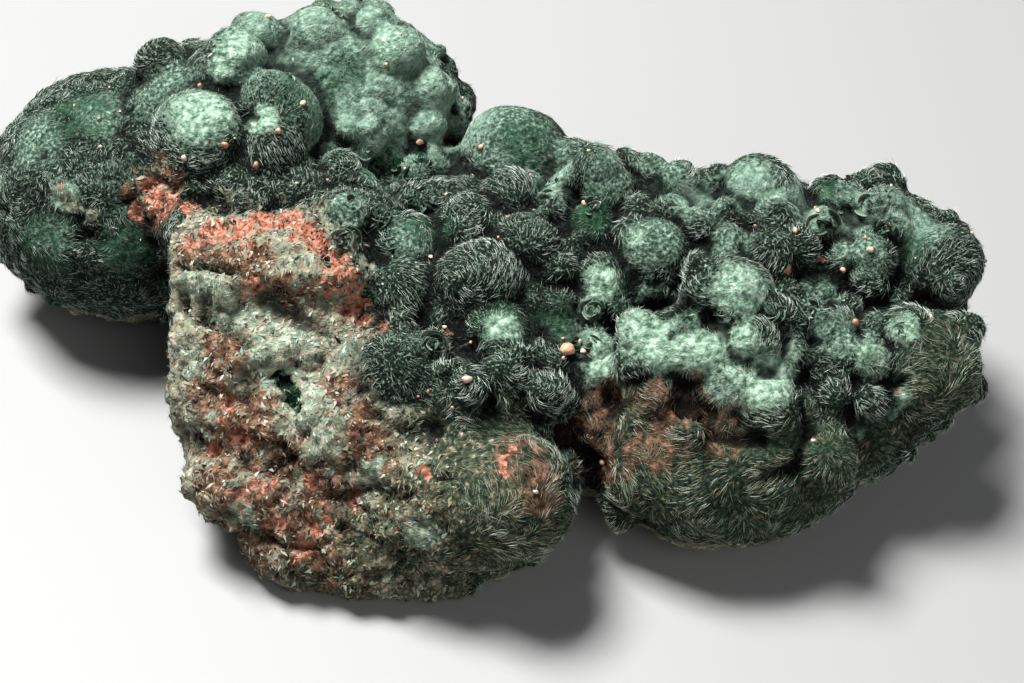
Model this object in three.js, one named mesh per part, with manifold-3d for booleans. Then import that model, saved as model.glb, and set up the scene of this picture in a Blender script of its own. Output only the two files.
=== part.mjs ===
// A hand-sized botryoidal atacamite specimen: one grown stone. Rounded lobes of dark green fibrous
// crust carry many balls, and the broken flank at the front left shows the earthy matrix in ledges.
// Millimetres, +Z up. The origin is on the ground under the middle of the stone.
import * as THREE from "three";
import { mergeVertices } from "three/addons/utils/BufferGeometryUtils.js";
import Module from "manifold-3d";

const wasm = await Module();
wasm.setup();

// How the photograph looks at the stone, in the modelling frame: X to the right, Y away from the
// camera, the ground at Z = 0. The middle of the picture looks at the point LOOK_HEIGHT above the
// frame's origin.
const VIEW_ELEVATION = THREE.MathUtils.degToRad(45);
const VIEW_DISTANCE = 164;
const LOOK_HEIGHT = 14;
const PHOTO_MIDDLE = [512, 341.5];
const PHOTO_FOCAL = 1706.7; // focal length in the photograph's pixels

// The stone's middle on the ground in the modelling frame. The finished stone is moved by minus this.
const STONE_MIDDLE = [-5.35, 10.66];

// Lobes of the grown mass: centre, half axes, turn about Z in degrees, unevenness, in millimetres.
const LOBES = [
  { at: [-41, 23.5, 12.6], half: [14.5, 14, 13], turn: 0, rough: 0.7 }, // left end
  { at: [-31, 25, 15], half: [13, 13.5, 13.5], turn: 0, rough: 0.7 }, // left, towards the back
  { at: [-18.5, 31.5, 16], half: [13.5, 11.5, 13.2], turn: 0, rough: 0.7 }, // back
  { at: [-27, 15.5, 17], half: [10, 8.5, 8.5], turn: 0, rough: 0.4 }, // under the largest ball
  { at: [-11, 21, 9], half: [9.5, 9.5, 9.6], turn: 0, rough: 0.4 }, // between back and middle
  { at: [0.5, 22, 10], half: [7, 8, 10.2], turn: 0, rough: 0.4 }, // middle back
  { at: [9, 14, 13], half: [9, 9, 11], turn: 0, rough: 0.4 }, // saddle behind the middle
  { at: [-2, 8.5, 11.3], half: [19, 15.5, 11], turn: 0, rough: 0.5 }, // middle
  { at: [20, 10, 12.5], half: [20.5, 11.5, 11.2], turn: -6, rough: 0.5 }, // right arm
  { at: [35.5, 9.5, 14], half: [9.5, 9, 9.5], turn: 0, rough: 0.4 }, // right end
  { at: [-9, -6, 9.5], half: [15, 11, 9.5], turn: 0, rough: 0.7 }, // front left
  { at: [-4.5, -12.5, 8], half: [11, 9.5, 8.5], turn: 0, rough: 0.6 }, // front left, lower
  { at: [21, -9, 8.8], half: [13.5, 9.5, 9.2], turn: 10, rough: 0.5 }, // front right
  { at: [32, -2.5, 9.6], half: [9.5, 9, 9.5], turn: 0, rough: 0.5 }, // front right corner
  { at: [8, -4, 8], half: [8, 7.5, 8.5], turn: 0, rough: 0.5 }, // between the front lobes
  { at: [19, -4, 17], half: [8, 5, 5.5], turn: 0, rough: 0.4 }, // under the pale cluster
];

// The broken flank: blocks of matrix in ledges, from the top one down.
const LEDGES = [
  { at: [-22.3, 8, 19.5], half: [10.3, 9.5, 4.2], turn: -4, rough: 0.8 },
  { at: [-21.5, 3.5, 15.5], half: [11.3, 10.2, 4], turn: 5, rough: 0.9 },
  { at: [-20, -1, 11.5], half: [12, 11, 4], turn: -6, rough: 0.9 },
  { at: [-18, -5.5, 7.5], half: [13.5, 11.5, 4], turn: 4, rough: 0.9 },
  { at: [-12.5, -9, 3.6], half: [13, 12.2, 4.4], turn: -8, rough: 0.9 },
];

// Balls of the crust as the photograph shows them: pixel across, pixel down, radius in millimetres.
const BACK_BALLS = [
  [205, 142, 5.4], [268, 150, 3.9], [275, 118, 4.7], [222, 74, 3.4], [235, 58, 3.1],
  [163, 66, 2.8], [255, 38, 2.8], [320, 33, 2.8], [395, 55, 3.0],
  [430, 95, 2.9], [515, 165, 6.0],
];
const MIDDLE_BALLS = [
  [343, 222, 3.2], [405, 252, 3.8], [402, 292, 3.7], [440, 172, 2.9], [468, 222, 2.7],
  [481, 282, 4.2], [525, 248, 3.4], [500, 332, 3.3], [510, 198, 2.9], [606, 192, 2.8],
  [595, 232, 3.1], [655, 256, 4.0], [604, 290, 3.5], [725, 303, 4.5],
];
const RIGHT_BALLS = [
  [760, 196, 3.9], [768, 256, 3.1], [935, 268, 4.4],
  [918, 365, 5.8], [907, 336, 2.8],
];
const FRONT_BALLS = [
  [662, 352, 3.4], [700, 352, 3.3], [750, 345, 3.0], [765, 375, 3.2],
  [768, 410, 3.2], [402, 372, 4.2], [520, 385, 4.4], [450, 392, 3.1], [512, 498, 6.0],
  [820, 460, 3.2],
];

// Balls round the sides that the photograph doesn't show. Their lines come in from behind, fanned
// out from one end of the stone to the other, and take these heights and radii in turn.
const HIDDEN_BALLS = 10;
const HIDDEN_SPREAD = [-44, 38]; // where the lines cross the stone, along X
const HIDDEN_DEPTHS = [25, 5]; // and along Y
const HIDDEN_FAN = [155, 40]; // where they come from, in degrees from +X towards +Y
const HIDDEN_HEIGHTS = [8, 14, 11];
const HIDDEN_RADII = [4.2, 3, 5, 3.4];

const BALL_DEPTH = 0.4; // how far past the surface a ball's centre sits, as a share of its radius
const BALL_ROUGH = 0.04; // unevenness of a ball, as a share of its radius
const LUMP_PITCH = 7; // distance between the lumps of an uneven surface
const LEDGE_POWER = 4; // 2 makes an ellipsoid, and more makes a block with rounder corners
const SMALL = 4; // lobes and balls under this radius have the fewest faces
const LARGE = 10.5; // and those under this one fewer than the largest

const UP = new THREE.Vector3(0, 0, 1);

// A repeatable unevenness at a point, between -1 and 1.
function lump(point) {
  const k = (2 * Math.PI) / LUMP_PITCH;
  const [x, y, z] = [point.x * k, point.y * k, point.z * k];
  const bentX = x + 1.3 * Math.sin(0.61 * y + 0.7);
  const bentY = y + 1.3 * Math.sin(0.57 * z + 2.1);
  const bentZ = z + 1.3 * Math.sin(0.53 * x + 4.0);
  return (Math.sin(bentX) + Math.sin(bentY) + Math.sin(bentZ)) / 3;
}

// A three.js geometry as a solid, with the corners that its faces share merged.
function solidOf(geometry) {
  geometry.deleteAttribute("normal");
  geometry.deleteAttribute("uv");
  const merged = mergeVertices(geometry, 1e-5);
  const vertProperties = merged.attributes.position.array;
  const triVerts = new Uint32Array(merged.index.array);
  return new wasm.Manifold(new wasm.Mesh({ numProp: 3, vertProperties, triVerts }));
}

// A solid as a three.js geometry.
function geometryOf(solid) {
  const { vertProperties, triVerts } = solid.getMesh();
  const geometry = new THREE.BufferGeometry();
  geometry.setAttribute("position", new THREE.BufferAttribute(vertProperties, 3));
  geometry.setIndex(new THREE.BufferAttribute(triVerts, 1));
  geometry.computeVertexNormals();
  return geometry;
}

// How finely a lobe's faces are divided, by its size.
function detailFor(half) {
  const size = Math.max(...half);
  if (size < SMALL) return 1;
  return size < LARGE ? 2 : 3;
}

// The length of a direction measured with a power in place of the square.
function powerLength(direction, power) {
  const sum = direction.toArray().reduce((total, part) => total + Math.abs(part) ** power, 0);
  return sum ** (1 / power);
}

// An uneven ellipsoid, or an uneven block with round corners where power is over 2.
function lobe({ at, half, turn, rough, power = 2 }) {
  const geometry = new THREE.IcosahedronGeometry(1, detailFor(half));
  const corners = geometry.attributes.position;
  const axes = new THREE.Vector3(...half);
  const angle = THREE.MathUtils.degToRad(turn);
  const corner = new THREE.Vector3();
  const outward = new THREE.Vector3();
  for (let i = 0; i < corners.count; i++) {
    corner.fromBufferAttribute(corners, i);
    outward.copy(corner).divide(axes).normalize().applyAxisAngle(UP, angle);
    corner.divideScalar(powerLength(corner, power)).multiply(axes).applyAxisAngle(UP, angle);
    corner.add(new THREE.Vector3(...at));
    corner.addScaledVector(outward, rough * lump(corner));
    corners.setXYZ(i, ...corner);
  }
  return solidOf(geometry);
}

function ledge(block) {
  return lobe({ ...block, power: LEDGE_POWER });
}

function joined(solids) {
  return solids.reduce((whole, solid) => whole.add(solid));
}

// The line from the camera through a pixel of the photograph.
function sightLine(across, down) {
  const forward = new THREE.Vector3(0, Math.cos(VIEW_ELEVATION), -Math.sin(VIEW_ELEVATION));
  const upward = new THREE.Vector3(0, Math.sin(VIEW_ELEVATION), Math.cos(VIEW_ELEVATION));
  const eye = new THREE.Vector3(0, 0, LOOK_HEIGHT).addScaledVector(forward, -VIEW_DISTANCE);
  const direction = forward.clone().addScaledVector(upward, (PHOTO_MIDDLE[1] - down) / PHOTO_FOCAL);
  direction.x += (across - PHOTO_MIDDLE[0]) / PHOTO_FOCAL;
  return new THREE.Raycaster(eye, direction.normalize());
}

// A level line from behind the stone, fanned out so that the last ones come in from the ends.
function lineFromBehind(i) {
  const share = i / (HIDDEN_BALLS - 1);
  const fan = THREE.MathUtils.degToRad(THREE.MathUtils.lerp(HIDDEN_FAN[0], HIDDEN_FAN[1], share));
  const inward = new THREE.Vector3(-Math.cos(fan), -Math.sin(fan), 0);
  const x = THREE.MathUtils.lerp(...HIDDEN_SPREAD, share);
  const y = THREE.MathUtils.lerp(...HIDDEN_DEPTHS, share);
  const target = new THREE.Vector3(x, y, HIDDEN_HEIGHTS[i % HIDDEN_HEIGHTS.length]);
  return new THREE.Raycaster(target.addScaledVector(inward, -VIEW_DISTANCE), inward);
}

// A ball where a line meets the body.
function ballOn(body, line, radius) {
  const [hit] = line.intersectObject(body);
  if (!hit) throw new Error(`a ball of radius ${radius} has nothing to grow on`);
  const centre = hit.point.addScaledVector(line.ray.direction, BALL_DEPTH * radius);
  const half = [radius, radius, radius];
  return lobe({ at: centre.toArray(), half, turn: 0, rough: BALL_ROUGH * radius });
}

const mass = joined([...LOBES.map(lobe), ...LEDGES.map(ledge)]);
const body = new THREE.Mesh(geometryOf(mass));

const shownBalls = [...BACK_BALLS, ...MIDDLE_BALLS, ...RIGHT_BALLS, ...FRONT_BALLS].map(
  ([across, down, radius]) => ballOn(body, sightLine(across, down), radius),
);
const hiddenBalls = Array.from({ length: HIDDEN_BALLS }, (_, i) => {
  const radius = HIDDEN_RADII[i % HIDDEN_RADII.length];
  return ballOn(body, lineFromBehind(i), radius);
});

// The ground plane trims the lobes that the stone rests on.
const ground = solidOf(new THREE.BoxGeometry(300, 300, 20).translate(0, 0, -10));
const stone = joined([mass, ...shownBalls, ...hiddenBalls]).subtract(ground);

const crust = new THREE.MeshStandardMaterial({ color: 0x1f4a33, roughness: 0.75, metalness: 0 });
const specimen = new THREE.Mesh(geometryOf(stone), crust);
specimen.name = "atacamite_specimen";
specimen.position.set(-STONE_MIDDLE[0], -STONE_MIDDLE[1], 0);

const part = new THREE.Group();
part.add(specimen);

export default part;
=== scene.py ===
import math

import bmesh
import bpy
import numpy as np
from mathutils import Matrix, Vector, noise
from mathutils.bvhtree import BVHTree


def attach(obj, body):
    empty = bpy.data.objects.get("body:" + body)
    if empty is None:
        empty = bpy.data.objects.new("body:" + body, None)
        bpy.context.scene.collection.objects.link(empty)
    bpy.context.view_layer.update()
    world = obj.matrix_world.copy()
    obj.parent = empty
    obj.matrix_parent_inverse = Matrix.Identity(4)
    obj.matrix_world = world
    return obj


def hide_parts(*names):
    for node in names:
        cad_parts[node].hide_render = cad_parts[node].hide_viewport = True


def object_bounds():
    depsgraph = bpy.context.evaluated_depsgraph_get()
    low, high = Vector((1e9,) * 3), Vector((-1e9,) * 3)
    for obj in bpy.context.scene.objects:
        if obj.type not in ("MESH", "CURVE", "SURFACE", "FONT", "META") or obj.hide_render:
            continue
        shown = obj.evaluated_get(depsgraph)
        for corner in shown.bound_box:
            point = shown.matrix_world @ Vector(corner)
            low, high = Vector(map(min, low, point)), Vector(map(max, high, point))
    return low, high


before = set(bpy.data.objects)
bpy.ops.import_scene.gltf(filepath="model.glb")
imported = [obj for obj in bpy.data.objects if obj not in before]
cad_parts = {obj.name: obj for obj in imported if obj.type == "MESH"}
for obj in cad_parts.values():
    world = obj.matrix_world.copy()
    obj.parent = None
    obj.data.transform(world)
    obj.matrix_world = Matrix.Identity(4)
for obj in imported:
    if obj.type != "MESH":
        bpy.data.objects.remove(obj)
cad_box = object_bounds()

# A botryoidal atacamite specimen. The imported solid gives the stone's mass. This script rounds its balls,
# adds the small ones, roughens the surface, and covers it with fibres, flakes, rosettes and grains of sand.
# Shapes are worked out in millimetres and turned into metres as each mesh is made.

MM = 0.001
SEED = 7
RNG = np.random.default_rng(SEED)
noise.seed_set(SEED)  # the offsets of the vector noise come from the clock otherwise

# The photograph's camera. AIM is the point of the stone's frame in the middle of the picture, in mm.
AIM = np.array([5.35, -10.66, 14.0])
VIEW_ELEVATION = math.radians(45)
VIEW_DISTANCE = 164.0
PHOTO_SIZE = (1024, 683)
PHOTO_FOCAL = 1706.7  # focal length in the photograph's pixels
SENSOR = 36.0  # mm
FORWARD = np.array([0, math.cos(VIEW_ELEVATION), -math.sin(VIEW_ELEVATION)])
UPWARD = np.array([0, math.sin(VIEW_ELEVATION), math.cos(VIEW_ELEVATION)])
EYE = AIM - VIEW_DISTANCE * FORWARD

# Balls that the solid has, as the photograph shows them: pixel across, pixel down, radius in mm.
SOLID_BALLS = [
    (205, 142, 5.4), (268, 150, 3.9), (275, 118, 4.7), (222, 74, 3.4), (235, 58, 3.1), (163, 66, 2.8),
    (255, 38, 2.8), (320, 33, 2.8), (395, 55, 3.0), (430, 95, 2.9), (515, 165, 6.0), (343, 222, 3.2),
    (405, 252, 3.8), (402, 292, 3.7), (440, 172, 2.9), (468, 222, 2.7), (481, 282, 4.2), (525, 248, 3.4),
    (500, 332, 3.3), (510, 198, 2.9), (606, 192, 2.8), (595, 232, 3.1), (655, 256, 4.0), (604, 290, 3.5),
    (725, 303, 4.5), (760, 196, 3.9), (768, 256, 3.1), (935, 268, 4.4), (907, 336, 2.8), (662, 352, 3.4),
    (700, 352, 3.3), (750, 345, 3.0), (765, 375, 3.2), (768, 410, 3.2), (402, 372, 4.2), (820, 460, 3.2),
]
# Smaller balls, which only this script has.
SMALL_BALLS = [
    (316, 150, 2.6), (370, 130, 1.3), (350, 130, 1.4), (344, 180, 1.8), (360, 150, 1.6), (425, 125, 2.4),
    (373, 27, 2.2), (377, 217, 2.1), (415, 211, 2.0), (343, 242, 1.8), (417, 175, 2.0), (462, 238, 2.2),
    (647, 175, 2.2), (597, 170, 2.5), (645, 290, 1.8), (665, 287, 1.6), (620, 305, 1.4), (775, 224, 2.5),
    (680, 180, 1.9), (722, 184, 1.9), (638, 214, 1.8), (672, 212, 1.7), (797, 246, 2.0), (822, 226, 1.9),
    (828, 196, 2.0), (848, 200, 1.9), (880, 210, 2.4), (890, 226, 1.4), (945, 285, 1.5), (813, 317, 1.9),
    (866, 362, 2.3), (845, 355, 1.9), (820, 362, 2.1), (830, 395, 1.9), (870, 400, 1.9), (770, 315, 2.1),
    (700, 385, 1.7), (733, 392, 3.4), (608, 378, 2.1), (592, 335, 1.6), (600, 348, 1.5), (590, 310, 1.5),
    (600, 425, 1.1), (638, 420, 1.2), (690, 430, 1.8), (432, 345, 1.4), (640, 330, 2.0), (690, 325, 1.8),
    (630, 360, 1.7), (725, 370, 2.0), (790, 330, 1.7), (790, 290, 1.6), (560, 270, 1.6), (560, 300, 1.5),
    (550, 215, 1.7), (575, 250, 1.5), (630, 235, 1.4), (700, 225, 1.8), (730, 240, 1.6), (700, 270, 1.5),
    (840, 260, 1.8), (870, 280, 2.0), (900, 300, 1.8), (850, 310, 1.6), (880, 330, 1.7), (608, 356, 1.6),
    (505, 372, 2.2), (545, 392, 2.0), (470, 385, 1.8), (640, 396, 2.6), (662, 402, 2.2),
]
SOLID_DEPTH = 0.9  # how far past the first thing its sight line meets a ball's centre lies, in radii
SMALL_DEPTH = 0.3
SEEDED_BALLS = 210
SEEDED_RADII = (1.2, 2.8)  # mm
ROCK_CLEARANCE = 1.4  # how far off the seeded balls stay from a mark of rock, in the mark's radii

# Marks, as spheres about the points that their sight lines meet: across, down, radius in mm.
ROCK = [
    (200, 250, 6), (250, 255, 7), (305, 275, 6), (210, 320, 6), (265, 330, 8), (325, 330, 5), (205, 400, 6),
    (265, 410, 9), (325, 400, 5.5), (215, 480, 6), (280, 490, 9), (345, 470, 7), (300, 560, 8),
    (370, 560, 8), (400, 490, 5), (430, 580, 4), (250, 530, 5), (160, 190, 3), (66, 200, 0.9),
    (74, 206, 0.8), (90, 215, 0.8), (184, 425, 5), (190, 455, 4), (196, 495, 4), (182, 375, 4),
]
ORANGE = [
    (196, 234, 1.7), (218, 230, 1.6), (238, 226, 1.8), (262, 214, 1.4), (280, 220, 2), (300, 232, 1.4),
    (318, 244, 1.5), (335, 262, 1.4), (345, 280, 2), (328, 296, 1.1), (352, 302, 1.8), (362, 318, 1),
    (380, 326, 0.8), (448, 332, 0.7), (165, 198, 1.9), (150, 188, 1.3), (185, 208, 1.3), (243, 246, 0.9),
    (500, 446, 0.5), (502, 455, 0.5), (504, 464, 0.5), (506, 474, 0.5), (690, 425, 0.6), (640, 405, 0.8),
    (616, 398, 0.7), (560, 425, 0.6), (514, 446, 0.5), (575, 465, 1.2), (600, 482, 1.2), (240, 440, 1.2),
    (228, 402, 0.9), (262, 478, 1.4), (310, 480, 0.9), (322, 525, 1.3), (390, 518, 0.8), (330, 585, 0.8),
    (895, 390, 0.5), (945, 295, 0.9), (930, 300, 0.6), (866, 246, 0.6), (822, 258, 0.5), (788, 268, 0.5),
    (838, 262, 0.4), (445, 140, 1), (252, 290, 1.2), (300, 352, 0.7), (425, 472, 0.7), (215, 450, 1.1),
    (355, 500, 0.9), (240, 500, 0.9), (275, 522, 1.1), (300, 548, 1), (255, 462, 0.9), (222, 425, 1),
    (60, 185, 0.4), (135, 215, 0.8),
]
BROWN = [
    (238, 440, 4.5), (262, 500, 7), (310, 510, 6), (380, 470, 3.5), (520, 445, 2.5), (545, 495, 3),
    (512, 480, 3), (420, 515, 3), (395, 500, 3), (285, 545, 6), (330, 575, 4), (250, 545, 5), (290, 560, 5),
    (225, 505, 4), (270, 570, 4), (320, 540, 6), (350, 575, 4), (300, 585, 5), (225, 480, 4), (345, 500, 4),
    (225, 345, 3), (215, 390, 3), (410, 520, 4), (205, 248, 3.5), (250, 420, 4), (365, 455, 4),
    (345, 425, 3), (335, 395, 2.5), (610, 405, 3), (640, 412, 3), (700, 430, 2.5), (590, 430, 3),
    (670, 412, 4), (600, 450, 4), (640, 440, 4), (720, 430, 3), (160, 200, 4), (500, 455, 1.5),
    (530, 470, 3.5), (250, 260, 2.5), (300, 290, 2.5),
]
PALE = [
    (200, 112, 3.2), (262, 120, 1.5), (503, 332, 1.6), (600, 283, 1.7), (740, 290, 2.4), (640, 335, 2.4),
    (668, 350, 2.6), (700, 350, 2.4), (735, 345, 2.2), (765, 372, 2.4), (735, 392, 1.5), (608, 374, 2.2),
    (596, 348, 1.7), (733, 388, 3.0), (765, 388, 2.2), (782, 350, 1.4), (588, 312, 1.2), (868, 360, 1.8),
    (845, 355, 1.2), (236, 50, 2), (220, 70, 1.4), (65, 195, 1.4), (636, 240, 0.9), (415, 210, 0.9),
    (900, 397, 0.9), (893, 412, 0.7), (858, 430, 0.7), (905, 330, 1.3), (822, 226, 1), (812, 312, 1),
    (780, 200, 1.1), (385, 45, 1.4),
]
GREEN = [
    (503, 332, 3.0), (600, 285, 2.8), (740, 290, 3.4), (200, 114, 4.2), (595, 212, 2.6), (440, 165, 2.2),
    (430, 230, 2.6), (415, 208, 1.6), (290, 100, 3), (345, 75, 3), (80, 110, 4), (520, 140, 3),
    (660, 195, 2.2), (800, 430, 2.2), (840, 455, 2.2), (760, 440, 2.5), (620, 250, 1.6), (690, 320, 3),
    (720, 340, 2), (40, 250, 4), (130, 250, 4), (830, 200, 2.4), (286, 390, 1.5), (550, 320, 2.4),
    (600, 360, 2), (800, 350, 2), (910, 250, 2.2), (900, 390, 2),
]
OLIVE = [
    (952, 350, 4), (948, 382, 4), (930, 408, 3.5), (905, 425, 3), (525, 500, 7), (470, 560, 6),
    (560, 540, 4.5), (500, 440, 4), (620, 440, 3), (680, 480, 8), (740, 500, 9), (800, 480, 7),
    (650, 500, 6), (860, 450, 4), (430, 440, 4), (460, 480, 6), (410, 540, 5), (640, 410, 4), (700, 420, 3),
]
SOFT = [
    (35, 140, 3.2), (100, 110, 3), (50, 235, 2.4), (120, 260, 2), (170, 95, 4), (300, 40, 9), (350, 60, 10),
    (410, 60, 9), (430, 110, 8), (340, 105, 7), (385, 85, 8), (290, 70, 5), (510, 135, 5), (545, 165, 4),
    (610, 172, 3), (650, 185, 3.5), (800, 210, 3), (850, 215, 3), (860, 255, 2.5), (820, 290, 2),
    (880, 320, 2.2), (700, 205, 3), (750, 190, 3), (920, 230, 3), (870, 430, 2), (820, 440, 2),
    (560, 320, 2), (650, 295, 2), (840, 340, 2.5), (655, 240, 2.6), (640, 255, 2), (730, 250, 2.5),
    (380, 180, 2.5), (350, 210, 2), (410, 240, 2),
]
# Painted light: the far lobes, whose tops the light falls on, are painted lighter and flatter than the
# crust.
LIT_HAZE = [
    (300, 40, 7), (350, 60, 9), (410, 60, 8), (435, 105, 6), (350, 100, 7), (395, 95, 7), (440, 80, 6),
    (560, 180, 3), (800, 205, 3), (745, 180, 2.5), (690, 200, 2.5), (855, 215, 2.5), (905, 215, 3),
]
# The photograph shows no balls here, so none are seeded.
SMOOTH = [
    (40, 150, 10), (100, 110, 10), (60, 230, 10), (120, 260, 9), (110, 170, 8), (20, 120, 6), (80, 75, 6),
    (350, 60, 6), (420, 70, 5), (320, 30, 5), (450, 80, 4), (510, 130, 5), (690, 480, 8),
]
MOSS = [
    (400, 505, 4), (435, 540, 6), (470, 505, 5), (425, 575, 5), (375, 560, 3.5), (455, 460, 4),
    (350, 525, 2.5), (385, 530, 3), (480, 560, 5), (300, 585, 2.5), (355, 590, 3),
]
POCKET = [(285, 386, 0.9), (291, 396, 0.9), (297, 406, 0.5), (279, 377, 0.5)]
VERDIGRIS = [
    (66, 200, 1.2), (76, 207, 0.9), (89, 216, 0.8), (302, 405, 2.6), (276, 375, 2), (330, 432, 2.2),
    (262, 345, 2), (318, 418, 2), (230, 305, 3), (200, 290, 3), (290, 340, 2.4), (255, 325, 2.4),
    (350, 350, 1.6), (190, 360, 2), (238, 522, 2), (370, 480, 2.2), (420, 530, 2),
]
MARKS = {
    "soft": SOFT, "lit_haze": LIT_HAZE, "green": GREEN, "olive": OLIVE, "pale": PALE, "rock": ROCK, "brown": BROWN,
    "moss": MOSS, "orange": ORANGE, "verdigris": VERDIGRIS, "pocket": POCKET,
}
# How ragged each mark's edge is, from 0 for a slow fade to 1 for torn.
RAGGED = {
    "soft": 0.3, "lit_haze": 0.2, "green": 0.4, "olive": 0.5, "pale": 0.1, "rock": 0.5, "brown": 0.8,
    "orange": 1.0, "moss": 0.8, "verdigris": 0.8, "pocket": 0.7,
}

# A mark that is less than full only dusts the ground below it.
FULLNESS = {"green": 0.6, "lit_haze": 0.8, "brown": 0.75, "moss": 0.75, "orange": 0.8, "verdigris": 0.65}
MOTTLE_PITCH = 6.0  # mm, of the crust's faint lighter patches

# Grooves that the photograph shows as dark lines: their pixels, width and depth in mm.
GROOVES = [
    ([(455, 343), (480, 358), (512, 368), (548, 358)], 0.9, 1.0),
    ([(365, 318), (392, 330), (425, 326)], 0.8, 0.8),
    ([(358, 345), (360, 395), (385, 430), (440, 430)], 0.9, 0.7),
    ([(176, 268), (200, 263), (232, 272)], 0.6, 1.6),
    ([(200, 318), (225, 325), (252, 345)], 0.6, 1.0),
    ([(262, 300), (300, 322), (332, 330)], 0.6, 0.6),
    ([(188, 440), (230, 452), (268, 470), (300, 455)], 0.7, 0.8),
    ([(300, 440), (335, 400)], 0.6, 0.5),
    ([(330, 500), (370, 490), (405, 505)], 0.7, 0.8),
    ([(228, 520), (262, 542), (320, 552)], 0.7, 0.8),
    ([(618, 396), (650, 398), (680, 408), (702, 420)], 1.2, 1.2),
    ([(715, 436), (740, 443), (768, 442)], 0.9, 0.8),
    ([(655, 300), (685, 308), (715, 322)], 0.9, 1.2),
    ([(905, 298), (940, 302), (962, 310)], 0.8, 1.0),
    ([(560, 440), (585, 465), (602, 488)], 1.2, 1.2),
    ([(800, 400), (812, 430), (795, 470), (760, 480)], 0.8, 0.7),
    ([(445, 60), (455, 100), (445, 150), (470, 170)], 0.9, 0.8),
    ([(560, 180), (580, 200), (570, 215)], 0.7, 0.7),
    ([(190, 200), (230, 205), (290, 200), (310, 190)], 0.9, 0.9),
]
GROOVE_STEP = 6  # pixels between the points of a groove

# Grains of sand that the photograph shows: across, down, radius in mm.
SHOWN_GRAINS = [
    (567, 349, 0.75), (843, 270, 0.45), (855, 322, 0.4), (467, 379, 0.45), (603, 462, 0.4),
    (184, 158, 0.35), (225, 145, 0.35), (256, 166, 0.4), (278, 131, 0.35), (200, 86, 0.3), (268, 17, 0.35),
    (303, 103, 0.35), (870, 250, 0.5), (584, 203, 0.35), (583, 351, 0.36), (580, 342, 0.24),
    (795, 231, 0.35), (420, 142, 0.35), (481, 147, 0.3),
]
SEEDED_GRAINS = 60
SEEDED_GRAIN_RADII = (0.1, 0.26)  # mm
LARGE_GRAIN = 0.6  # mm, the radius past which a grain is the colour of the photograph's largest

# The hollows that these find are darkened as painted shade.
HOLLOW_ROUNDS = 25  # of blurring, past which a point counts as being in a hollow
HOLLOW_DEPTH = 0.5  # mm, of a full hollow
MASS_VOXEL = 0.8  # mm, the size of the faces of the solid as it is smoothed
BODY_VOXEL = 0.46  # mm, the size of the stone's faces
FIBRES_A_PIECE = 88_000
FIBRE_PIECES = 3
FLAKES = 38_000
FIBRE_LENGTHS = (0.6, 1.3)  # mm
FIBRE_WIDTHS = (0.035, 0.07)  # mm
FLAKE_LENGTHS = (0.35, 0.8)  # mm
FLAKE_WIDTHS = (0.16, 0.45)  # shares of a flake's length
GLINTS = 0.025  # the share of the flakes that catch the light


# Small helpers.
def unit(vectors):
    return vectors / (np.linalg.norm(vectors, axis=-1, keepdims=True) + 1e-12)


def smooth_step(low, high, value):
    t = np.clip((value - low) / (high - low), 0, 1)
    return t * t * (3 - 2 * t)


def points_of(mesh):
    flat = np.empty(len(mesh.vertices) * 3)
    mesh.vertices.foreach_get("co", flat)
    return flat.reshape(-1, 3)


def triangles_of(mesh):
    mesh.calc_loop_triangles()
    flat = np.empty(len(mesh.loop_triangles) * 3, np.int64)
    mesh.loop_triangles.foreach_get("vertices", flat)
    return flat.reshape(-1, 3)


def new_mesh(name, points, triangles):
    mesh = bpy.data.meshes.new(name)
    mesh.vertices.add(len(points))
    mesh.vertices.foreach_set("co", np.ravel(points).astype(np.float32))
    mesh.loops.add(len(triangles) * 3)
    mesh.loops.foreach_set("vertex_index", np.ravel(triangles).astype(np.int32))
    mesh.polygons.add(len(triangles))
    mesh.polygons.foreach_set("loop_start", np.arange(len(triangles), dtype=np.int32) * 3)
    mesh.update(calc_edges=True)
    return mesh


def add_object(name, data):
    obj = bpy.data.objects.new(name, data)
    bpy.context.scene.collection.objects.link(obj)
    return obj


def piece(name, points, triangles, material, smooth):
    """A piece of the stone, from points in mm. What would reach under the floor is laid flat on it."""
    mesh = new_mesh(name, points.clip(min=(-np.inf, -np.inf, 0)) * MM, triangles)
    mesh.polygons.foreach_set("use_smooth", np.full(len(triangles), smooth))
    mesh.materials.append(material)
    return add_object(name, mesh)


def add_attribute(obj, name, values):
    layer = obj.data.attributes.new(name, "FLOAT", "POINT")
    layer.data.foreach_set("value", np.asarray(values, np.float32))


def noise_at(points, pitch, octaves=1):
    """Repeatable noise of about -1 to 1 at each point, with lumps of that pitch in mm."""
    values = np.empty(len(points))
    for i, point in enumerate(points / pitch):
        values[i] = noise.fractal(Vector(point), 1.0, 2.0, octaves)
    return values


def noise_vectors(points, pitch):
    return np.array([noise.noise_vector(Vector(point)) for point in points / pitch])


def cells_at(points, pitch):
    """How far each point is from the nearest seeds of cells of that pitch, first and second, in pitches."""
    near = np.empty((len(points), 2))
    for i, point in enumerate(points / pitch):
        near[i] = noise.voronoi(Vector(point))[0][:2]
    return near


def domes_at(points, pitch):
    """1 on top of each dome of a surface packed with them, and 0 in the creases between."""
    near = cells_at(points, pitch)[:, 0]
    return np.sqrt(np.clip(1 - (near / 0.9) ** 2, 0, 1))


def blocks_at(points, pitch):
    """1 in the middle of each block of a broken surface, and 0 in the cracks between."""
    near = cells_at(points, pitch)
    return np.clip((near[:, 1] - near[:, 0]) * 2, 0, 1)


# Surfaces as arrays.
def face_normals(points, triangles):
    corners = points[triangles]
    return np.cross(corners[:, 1] - corners[:, 0], corners[:, 2] - corners[:, 0])


def summed(indices, rows, count):
    """Rows added up by index."""
    return np.column_stack([np.bincount(indices, rows[:, i], count) for i in range(rows.shape[1])])


def vertex_normals(points, triangles):
    normals = np.repeat(face_normals(points, triangles), 3, axis=0)
    return unit(summed(triangles.ravel(), normals, len(points)))


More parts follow.
